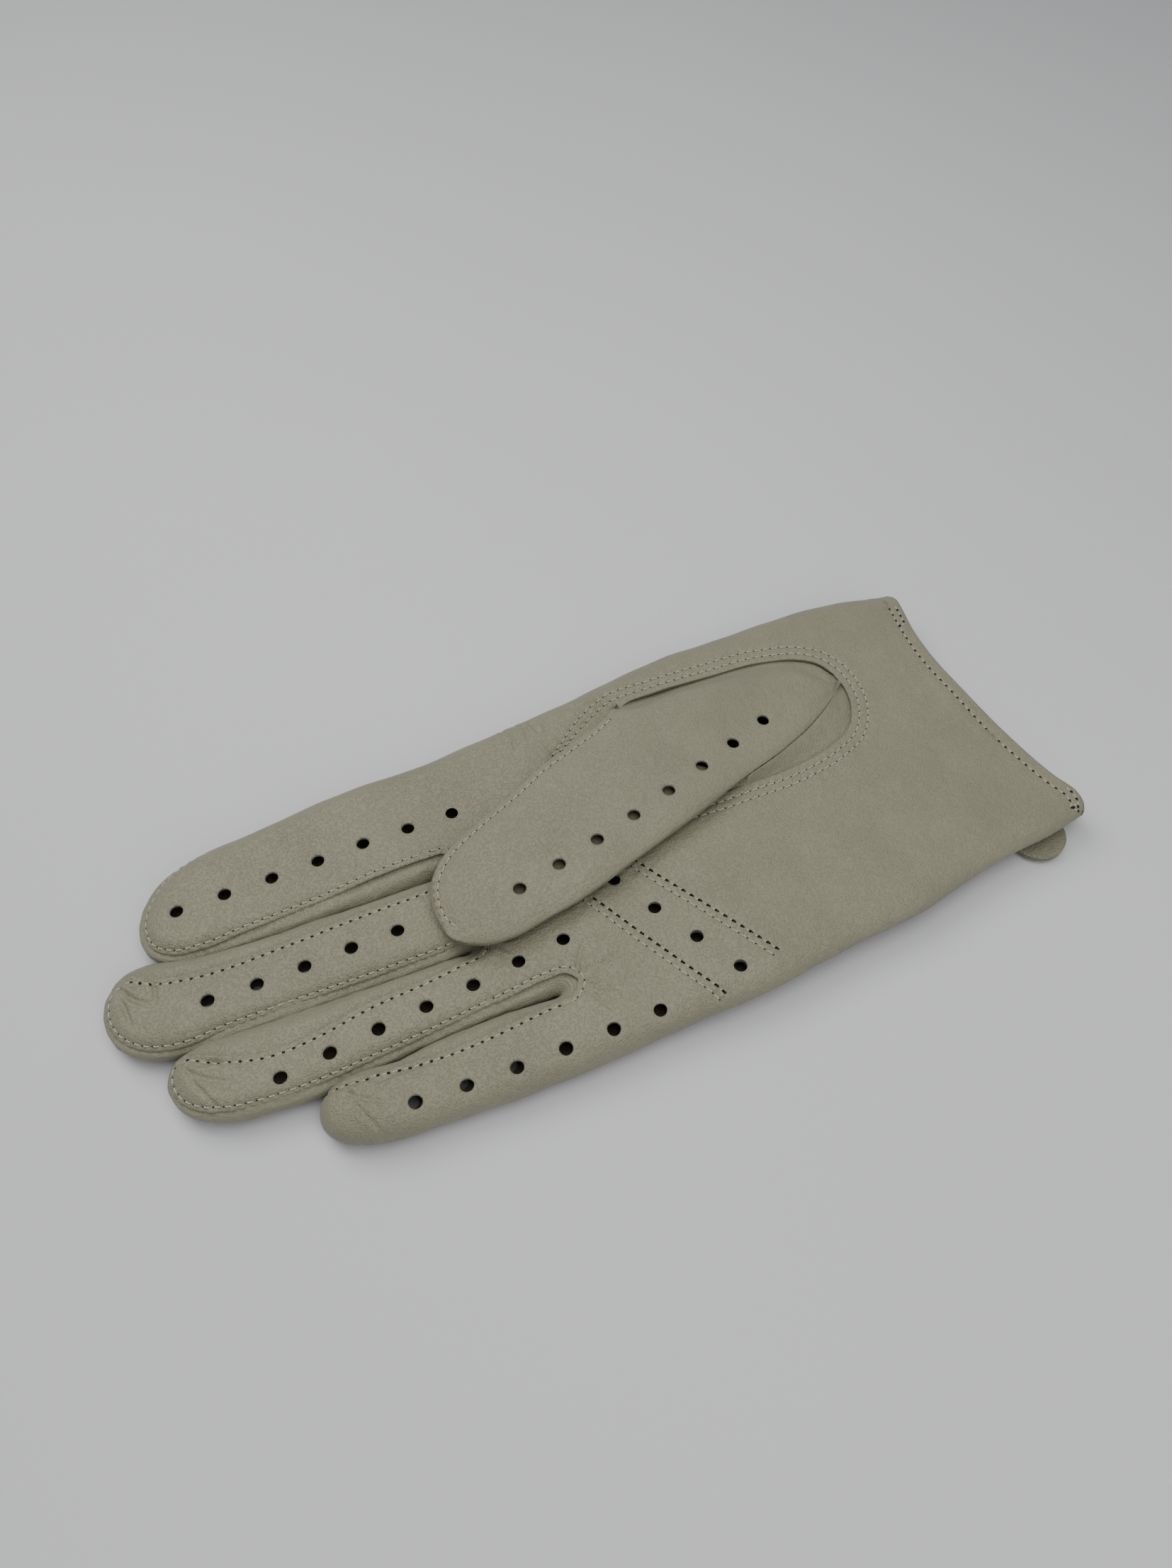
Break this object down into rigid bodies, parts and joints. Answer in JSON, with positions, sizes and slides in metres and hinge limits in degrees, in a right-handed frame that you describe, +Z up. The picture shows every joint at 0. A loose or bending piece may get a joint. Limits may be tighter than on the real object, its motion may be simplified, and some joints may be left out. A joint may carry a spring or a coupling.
{
  "type": "leather driving glove",
  "caption": "Perforated leather driving glove for the right hand, with a snap wrist strap; fingers curl and the thumb lifts.",
  "frame": {"origin": "centre of the base of the glove's bounding box, with the glove lying on its back, palm up", "axes": "+X towards the fingertips, +Y towards the little finger, +Z up out of the palm"},
  "size_m": [0.2423, 0.1042, 0.0202],
  "materials": {
    "shell_leather": "smooth nappa, semi-matt",
    "binding_leather": "smooth nappa, semi-matt",
    "inside_leather": "raw flesh side",
    "snap_metal": "satin nickel"
  },
  "bodies": {
    "hand": {"palm_leather": "shell_leather", "back_leather": "shell_leather", "cuff_binding": "binding_leather", "vent_binding": "binding_leather", "palm_band_backing": "inside_leather", "thumb_gusset": "shell_leather", "index_middle_crotch": "shell_leather", "middle_ring_crotch": "shell_leather", "ring_little_crotch": "shell_leather", "strap_anchor": "shell_leather", "snap_stud": "snap_metal", "snap_post": "snap_metal"},
    "index_finger": {"index_palm_panel": "shell_leather", "index_back_panel": "shell_leather", "index_fourchette": "shell_leather"},
    "middle_finger": {"middle_palm_panel": "shell_leather", "middle_back_panel": "shell_leather", "middle_fourchette_index_side": "shell_leather", "middle_fourchette_ring_side": "shell_leather"},
    "ring_finger": {"ring_palm_panel": "shell_leather", "ring_back_panel": "shell_leather", "ring_fourchette_middle_side": "shell_leather", "ring_fourchette_little_side": "shell_leather"},
    "little_finger": {"little_palm_panel": "shell_leather", "little_back_panel": "shell_leather", "little_fourchette": "shell_leather"},
    "thumb": {"thumb_front_leather": "shell_leather", "thumb_back_leather": "shell_leather"},
    "strap": {"strap_leather": "shell_leather", "strap_lining": "inside_leather", "snap_cap": "snap_metal", "snap_socket": "snap_metal"}
  },
  "joints": [
    {"name": "index_curl", "type": "hinge", "parent": "hand", "child": "index_finger", "pos_m": [0.04705, -0.02434, 0.0122], "axis": [0, -1, 0], "range_deg": [0, 85]},
    {"name": "middle_curl", "type": "hinge", "parent": "hand", "child": "middle_finger", "pos_m": [0.04705, 0.00291, 0.0122], "axis": [0, -1, 0], "range_deg": [0, 85]},
    {"name": "ring_curl", "type": "hinge", "parent": "hand", "child": "ring_finger", "pos_m": [0.04705, 0.02231, 0.0122], "axis": [0, -1, 0], "range_deg": [0, 85]},
    {"name": "little_curl", "type": "hinge", "parent": "hand", "child": "little_finger", "pos_m": [0.03205, 0.04166, 0.0122], "axis": [0, -1, 0], "range_deg": [0, 85]},
    {"name": "thumb_lift", "type": "hinge", "parent": "hand", "child": "thumb", "pos_m": [-0.04895, -0.02984, 0.013], "axis": [0.9746, -0.2241, 0], "range_deg": [0, 65]},
    {"name": "strap_open", "type": "hinge", "parent": "hand", "child": "strap", "pos_m": [-0.10128, -0.01749, 0.001], "axis": [-0.9903, -0.1392, 0], "range_deg": [0, 130]}
  ]
}
